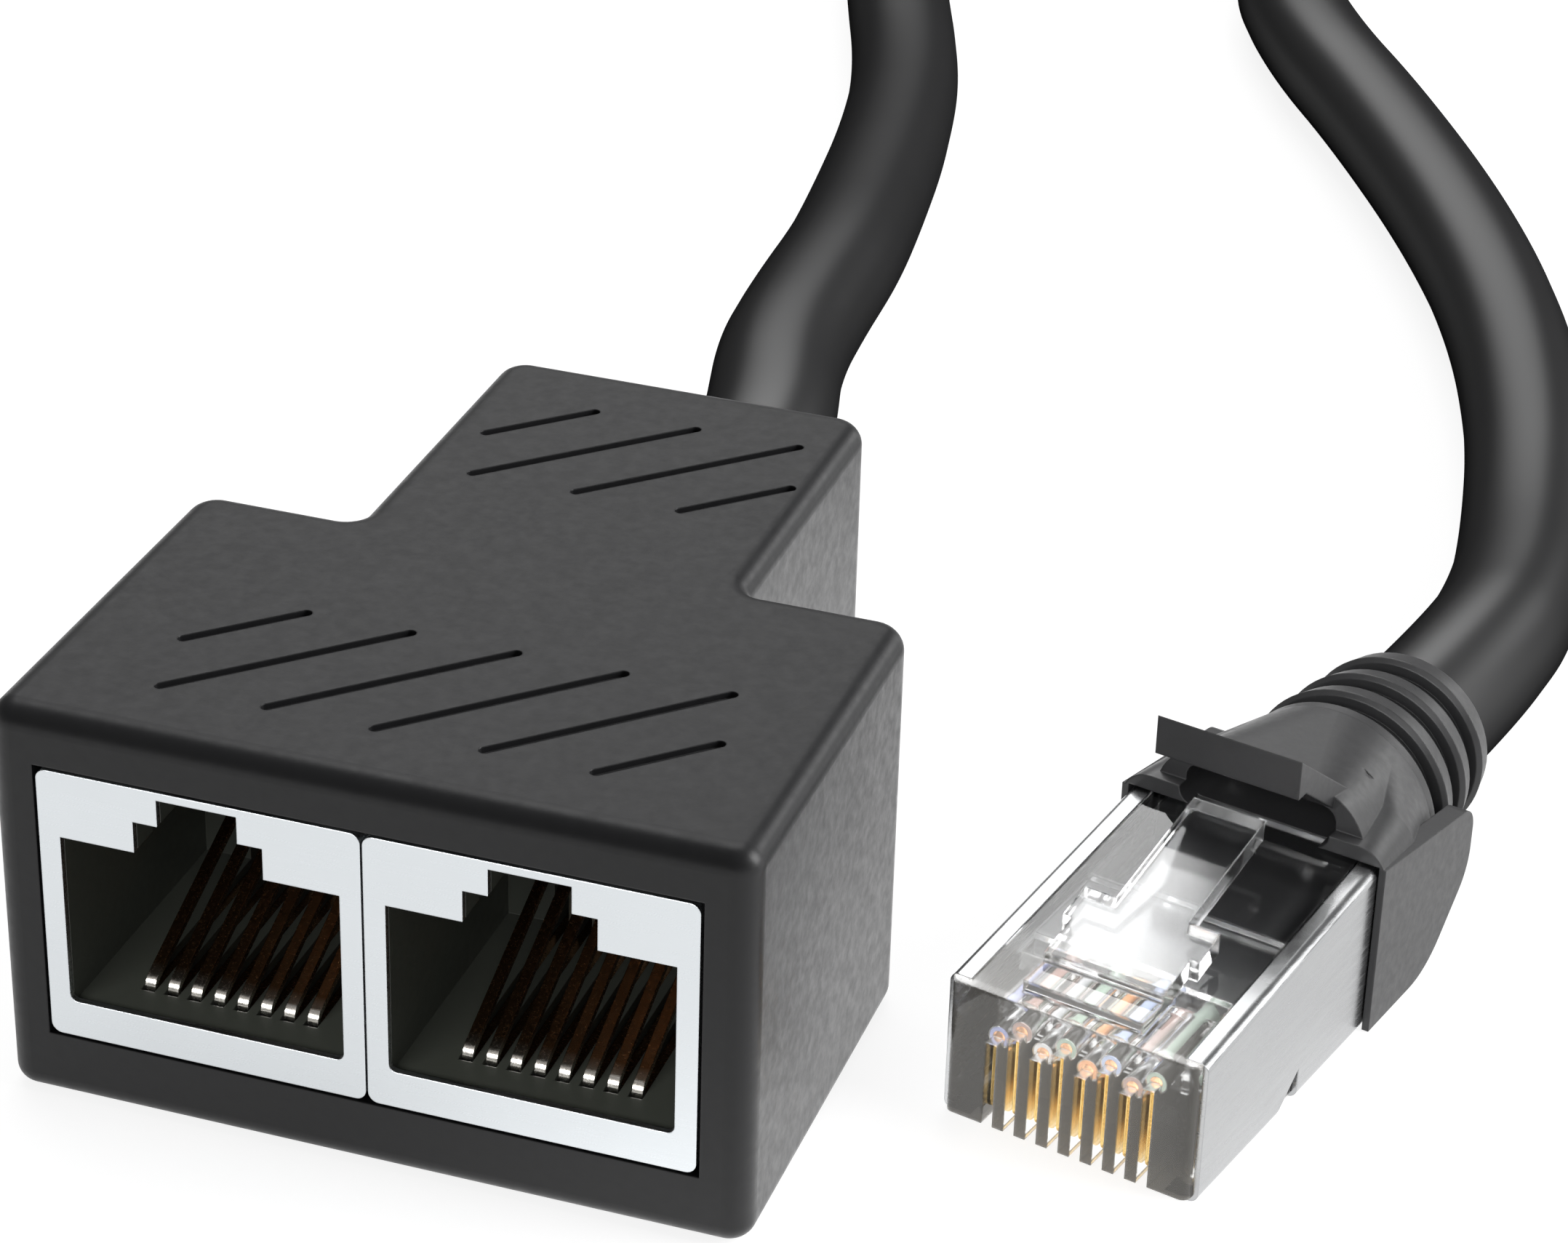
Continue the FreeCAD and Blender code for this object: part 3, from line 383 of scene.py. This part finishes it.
WIRES = {
    name: moulded("wire_" + name, colour, 0.35, edge=0) for name, colour in WIRE_COLOURS.items()
}
PLUG_WIRE_ORDER = ["blue", "brown", "white", "green", "orange", "pale_blue", "brown", "green"]
PAIR_ORDER = ["blue", "orange", "green", "brown"]
PORT_MATERIALS = {"shield": NICKEL, "insert": INSERT, "contact": WIRE_METAL}
PIECE_MATERIALS = {
    "housing": HOUSING,
    "base_cover": COVER,
    "circuit_board": BOARD,
    "strain_relief": BOOT,
    "cable_inner_end": CABLE,
    "cable_clamp": NICKEL,
    "cable": CABLE,
    "plug_body": CLEAR,
    "plug_shield": PLUG_NICKEL,
    "plug_load_bar": BAR,
    "plug_cable_end": CABLE,
    "plug_boot": BOOT,
}


def material_for(name):
    """Material of a node, from its name."""
    if name.startswith("port_"):
        return PORT_MATERIALS[name.split("_")[2]]
    if name.startswith("plug_contact"):
        return GOLD
    if name.startswith("plug_wire"):
        return WIRES[PLUG_WIRE_ORDER[int(name[-1]) - 1]]
    if name.startswith("wire_pair"):
        return WIRES[PAIR_ORDER[int(name[-1]) - 1]]
    return PIECE_MATERIALS[name]


def dress(obj, material):
    """Give a piece one material."""
    obj.data.materials.clear()
    obj.data.materials.append(material)


for name, obj in nodes.items():
    dress(obj, material_for(name))
    for polygon in obj.data.polygons:
        polygon.use_smooth = True
    obj.data.set_sharp_from_angle(angle=math.radians(SHARP_ANGLE))


# Pieces of the scene's own
def make_cable():
    """The free cable: one smooth NURBS line along its whole route."""
    curve = bpy.data.curves.new("free_cable", "CURVE")
    curve.dimensions = "3D"
    spline = curve.splines.new("NURBS")
    spline.points.add(len(ROUTE) - 1)
    for point, place in zip(spline.points, ROUTE):
        point.co = (*place, 1)
    spline.order_u = CABLE_ORDER
    spline.use_endpoint_u = True
    spline.resolution_u = CABLE_STEPS
    curve.bevel_depth = CABLE_DIAMETER / 2
    curve.bevel_resolution = CABLE_ROUNDNESS
    curve.use_fill_caps = True
    obj = bpy.data.objects.new("free_cable", curve)
    bpy.context.scene.collection.objects.link(obj)
    dress(obj, CABLE)
    return obj


def make_wire_cores():
    """Copper cores that show on the cut ends of the plug's conductors."""
    bm = bmesh.new()
    for i in range(WIRE_COUNT):
        x = (i - (WIRE_COUNT - 1) / 2) * WIRE_PITCH
        y = WIRE_START - CORE_DEPTH / 2
        z = WIRE_HEIGHT + (i % 2) * WIRE_STEP
        place = PLUG @ Matrix.Translation(Vector((x, y, z)) * MM)
        bmesh.ops.create_cone(
            bm, cap_ends=True, segments=CORE_SIDES, radius1=CORE_RADIUS * MM,
            radius2=CORE_RADIUS * MM, depth=CORE_DEPTH * MM,
            matrix=place @ Matrix.Rotation(math.radians(90), 4, "X"),
        )
    mesh = bpy.data.meshes.new("wire_cores")
    bm.to_mesh(mesh)
    bm.free()
    obj = bpy.data.objects.new("wire_cores", mesh)
    bpy.context.scene.collection.objects.link(obj)
    dress(obj, COPPER)
    return obj


wire_cores = make_wire_cores()
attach(wire_cores, "root")

cable = make_cable()
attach(cable, "root")
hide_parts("cable")
plug_pieces = [
    nodes[name] for name in nodes
    if name.startswith("plug_") or name in ("strain_relief", "cable_inner_end")
]
plug_pieces.append(wire_cores)


# Camera, floor, world and lamps
def make_camera():
    """Camera at the place that was fitted to the photograph."""
    data = bpy.data.cameras.new("camera")
    data.lens = CAMERA_LENS
    data.sensor_width = CAMERA_SENSOR
    data.sensor_fit = "HORIZONTAL"
    data.clip_start = CAMERA_NEAR
    obj = bpy.data.objects.new("camera", data)
    turn = Matrix((CAMERA_RIGHT, CAMERA_UP, -CAMERA_VIEW)).transposed().to_4x4()
    obj.matrix_world = Matrix.Translation(CAMERA_PLACE) @ turn
    bpy.context.scene.collection.objects.link(obj)
    bpy.context.scene.camera = obj
    return obj


def pool_glow(tree, glossy):
    """Glow of the floor, brighter in reflections of the spot beside the housing's right side."""
    place = tree.nodes.new("ShaderNodeTexCoord")
    stretch = tree.nodes.new("ShaderNodeVectorMath")
    stretch.operation = "MULTIPLY"
    stretch.inputs[1].default_value = POOL_NARROWING
    gap = tree.nodes.new("ShaderNodeVectorMath")
    gap.operation = "DISTANCE"
    gap.inputs[1].default_value = [a * b for a, b in zip(POOL_MIDDLE, POOL_NARROWING)]
    tree.links.new(place.outputs["Object"], stretch.inputs[0])
    tree.links.new(stretch.outputs["Vector"], gap.inputs[0])
    fall = remap(
        tree, gap.outputs["Value"], POOL_RADIUS * POOL_FULL_SHARE, POOL_RADIUS,
        POOL_GLOW, 0.0, "SMOOTHSTEP",
    )
    total = tree.nodes.new("ShaderNodeMath")
    total.operation = "MULTIPLY_ADD"
    total.inputs[2].default_value = FLOOR_GLOW
    tree.links.new(fall, total.inputs[0])
    tree.links.new(glossy, total.inputs[1])
    return total.outputs[0]


def floor_material():
    """Grey floor that takes shadows, with a glow where it is seen, mirrored or seen through."""
    material, tree, shader = new_material("floor")
    shader.inputs["Base Color"].default_value = FLOOR_COLOUR
    shader.inputs["Roughness"].default_value = FLOOR_ROUGHNESS
    shader.inputs["Specular IOR Level"].default_value = FLOOR_SPECULAR
    path = tree.nodes.new("ShaderNodeLightPath")
    seen = path.outputs["Is Camera Ray"]
    for ray in ("Is Glossy Ray", "Is Transmission Ray"):
        seen = larger(tree, seen, path.outputs[ray])
    glow = tree.nodes.new("ShaderNodeEmission")
    tree.links.new(pool_glow(tree, path.outputs["Is Glossy Ray"]), glow.inputs["Strength"])
    both = tree.nodes.new("ShaderNodeAddShader")
    tree.links.new(shader.outputs[0], both.inputs[0])
    tree.links.new(glow.outputs[0], both.inputs[1])
    show(tree, blend(tree, seen, shader.outputs[0], both.outputs[0]))
    return material


def make_floor():
    """Flat square floor just under the part."""
    mesh = bpy.data.meshes.new("floor")
    corners = [(-1, -1), (1, -1), (1, 1), (-1, 1)]
    places = [(x * FLOOR_REACH, y * FLOOR_REACH, FLOOR_LEVEL) for x, y in corners]
    mesh.from_pydata(places, [], [(0, 1, 2, 3)])
    obj = bpy.data.objects.new("floor", mesh)
    bpy.context.scene.collection.objects.link(obj)
    mesh.materials.append(floor_material())


def make_world():
    """Even white light from all around."""
    world = bpy.data.worlds.new("studio")
    world.use_nodes = True
    background = world.node_tree.nodes["Background"]
    background.inputs["Color"].default_value = WORLD_COLOUR
    background.inputs["Strength"].default_value = WORLD_LIGHT
    bpy.context.scene.world = world


def area_lamp(name, place, target, size, power):
    """Rectangular lamp that faces a point."""
    data = bpy.data.lights.new(name, "AREA")
    data.shape = "RECTANGLE"
    data.size, data.size_y = size
    data.energy = power
    obj = bpy.data.objects.new(name, data)
    obj.location = place
    aim = Vector(target) - Vector(place)
    obj.rotation_euler = aim.to_track_quat("-Z", "Y").to_euler()
    bpy.context.scene.collection.objects.link(obj)
    return obj


def light_only(lamp, pieces):
    """Let a lamp reach only these pieces."""
    group = bpy.data.collections.new(lamp.name + "_reach")
    for piece in pieces:
        group.objects.link(piece)
    lamp.light_linking.receiver_collection = group


def mirrored(place, normal):
    """Point that the camera sees mirrored at a place on a flat face."""
    sight = (camera.matrix_world.translation - place).normalized()
    return place + (2 * normal.dot(sight) * normal - sight) * CARD_DISTANCE


def leaning(rise):
    """Upward normal of a face of the plug that rises towards the boot."""
    angle = math.radians(rise)
    return Vector((0, 0, 1)) * math.cos(angle) - PLUG_BACK * math.sin(angle)


def plug_card():
    """Card mirrored by the left half of the plug's top face and of its lever."""
    low = mirrored(PLUG @ Vector(PLUG_TOP), leaning(TOP_RISE))
    high = mirrored(PLUG @ Vector(LEVER_TOP), leaning(LEVER_RISE))
    up_edge = (high - low).normalized()
    towards = (low + high) / 2 - PLUG @ Vector(PLUG_TOP)
    leftward = up_edge.cross(towards).normalized()
    place = (low + high) / 2 + leftward * CARD_WIDTH / 2
    card = area_lamp("plug_card", place, (0, 0, 0), (CARD_WIDTH, CARD_LENGTH), CARD_POWER)
    turn = Matrix((leftward, up_edge, leftward.cross(up_edge))).transposed()
    card.matrix_world = Matrix.Translation(place) @ turn.to_4x4()
    light_only(card, plug_pieces)


camera = make_camera()
make_floor()
make_world()
lamps = {name: area_lamp(name, *values) for name, values in LAMPS.items()}
port_pieces = [nodes[name] for name in nodes if name.startswith("port_")]
light_only(lamps["front_lamp"], port_pieces + plug_pieces)
light_only(lamps["cable_card"], [cable])
plug_card()

bpy.context.scene.view_settings.view_transform = "Standard"
